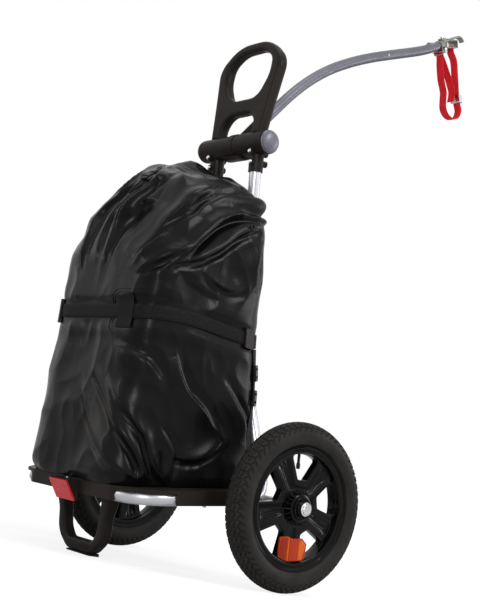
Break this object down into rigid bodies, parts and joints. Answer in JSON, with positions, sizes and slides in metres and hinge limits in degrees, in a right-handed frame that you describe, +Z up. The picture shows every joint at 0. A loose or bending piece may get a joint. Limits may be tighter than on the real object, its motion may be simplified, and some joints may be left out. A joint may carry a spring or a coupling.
{
  "type": "bicycle cargo trailer",
  "caption": "Two-wheeled bicycle cargo trailer with a bent tube frame, tray, soft bag, grip handle and folding curved tow bar with hook hitch and safety strap, parked on its rear foot.",
  "frame": {"origin": "on the floor, below the middle of the trailer's bounding box; the wheel axis is 109.6 mm behind it and 152 mm up", "axes": "+X to the trailer's right, along the wheel axis; +Y forward, towards the bicycle; +Z up"},
  "size_m": [0.5982, 0.883, 1.3165],
  "materials": {
    "amber_lens": "clear amber reflector plastic",
    "black_plastic": "fine-grained moulded plastic",
    "black_webbing": "woven webbing",
    "button_grey": "satin grey plastic",
    "dark_steel": "dark zinc-plated steel",
    "grey": "satin grey paint",
    "red_lens": "clear red reflector plastic",
    "red_webbing": "woven webbing",
    "rubber": "matt rubber",
    "silver": "satin silver paint",
    "steel": "bright zinc-plated steel",
    "tarpaulin": "glossy coated tarpaulin",
    "tyre_rubber": "moulded rubber with a curved tread",
    "wheel_plastic": "glossy moulded plastic"
  },
  "bodies": {
    "trailer": {"frame": "silver", "upper_cross_brace": "silver", "lower_cross_brace": "silver", "tray": "black_plastic", "tray_screw_right": "steel", "tray_screw_left": "steel", "foot": "black_plastic", "foot_pad": "rubber", "reflector_holder": "black_plastic", "rear_reflector": "red_lens", "reflector_screw": "steel", "axle_pin_right": "steel", "axle_pin_left": "steel", "axle_spring_right": "steel", "axle_spring_left": "steel", "locking_ball_right": "steel", "locking_ball_left": "steel", "hinge_head_right": "black_plastic", "hinge_head_left": "black_plastic", "release_spring_right": "steel", "release_spring_left": "steel", "pivot_shaft": "steel", "clamp_bolt_upper_right": "steel", "clamp_bolt_upper_left": "steel", "clamp_bolt_lower_right": "steel", "clamp_bolt_lower_left": "steel", "handle": "black_plastic", "bag": "tarpaulin", "bag_belt": "black_webbing", "belt_keeper": "black_plastic", "belt_slider_rear": "black_plastic", "belt_slider_front": "black_plastic"},
    "right_wheel": {"tyre_right": "tyre_rubber", "inner_tube_right": "rubber", "valve_cap_right": "rubber", "wheel_right": "wheel_plastic", "wheel_bush_right": "button_grey", "spoke_reflector_right": "amber_lens"},
    "right_axle_button": {"axle_button_right": "steel"},
    "right_release_button": {"release_button_right": "button_grey"},
    "left_wheel": {"tyre_left": "tyre_rubber", "inner_tube_left": "rubber", "valve_cap_left": "rubber", "wheel_left": "wheel_plastic", "wheel_bush_left": "button_grey", "spoke_reflector_left": "amber_lens"},
    "left_axle_button": {"axle_button_left": "steel"},
    "left_release_button": {"release_button_left": "button_grey"},
    "tow_bar": {"tow_hub": "black_plastic", "tow_bar": "grey", "bar_rivet": "steel", "hitch_plug": "dark_steel", "safety_strap": "red_webbing", "strap_buckle": "steel"},
    "hitch": {"hitch_bracket": "dark_steel", "hook": "dark_steel", "hook_bumper": "rubber", "hitch_bolt": "steel", "hitch_nut": "steel"},
    "strap_lever": {"strap_buckle_lever": "steel"}
  },
  "joints": [
    {"name": "right_wheel_spin", "type": "hinge", "parent": "trailer", "child": "right_wheel", "pos_m": [0.264, -0.10961, 0.152], "axis": [1, 0, 0], "continuous": true},
    {"name": "right_axle_button_press", "type": "slide", "parent": "trailer", "child": "right_axle_button", "axis": [-1, 0, 0], "range_m": [0, 0.003], "stiffness_N_per_m": 600, "springref_m": -0.003, "deforming": ["axle_spring_right"]},
    {"name": "right_release_button_press", "type": "slide", "parent": "trailer", "child": "right_release_button", "axis": [-1, 0, 0], "range_m": [0, 0.003], "stiffness_N_per_m": 1500, "springref_m": -0.004, "deforming": ["release_spring_right"]},
    {"name": "left_wheel_spin", "type": "hinge", "parent": "trailer", "child": "left_wheel", "pos_m": [-0.264, -0.10961, 0.152], "axis": [1, 0, 0], "continuous": true},
    {"name": "left_axle_button_press", "type": "slide", "parent": "trailer", "child": "left_axle_button", "axis": [1, 0, 0], "range_m": [0, 0.003], "stiffness_N_per_m": 600, "springref_m": -0.003, "deforming": ["axle_spring_left"]},
    {"name": "left_release_button_press", "type": "slide", "parent": "trailer", "child": "left_release_button", "axis": [1, 0, 0], "range_m": [0, 0.003], "stiffness_N_per_m": 1500, "springref_m": -0.004, "deforming": ["release_spring_left"]},
    {"name": "tow_bar_fold", "type": "hinge", "parent": "trailer", "child": "tow_bar", "pos_m": [0, -0.1902, 0.8311], "axis": [1, 0, 0], "range_deg": [-105, 0], "deforming": ["safety_strap"]},
    {"name": "hitch_yaw", "type": "hinge", "parent": "tow_bar", "child": "hitch", "pos_m": [0, 0.35285, 1.27597], "axis": [0, -0.3736, 0.9276], "range_deg": [-50, 50], "deforming": ["safety_strap"]},
    {"name": "strap_lever_open", "type": "hinge", "parent": "tow_bar", "child": "strap_lever", "pos_m": [0, 0.43065, 1.17555], "axis": [1, 0, 0], "range_deg": [0, 75], "stiffness_Nm_per_rad": 0.02, "springref_deg": -20.05}
  ]
}
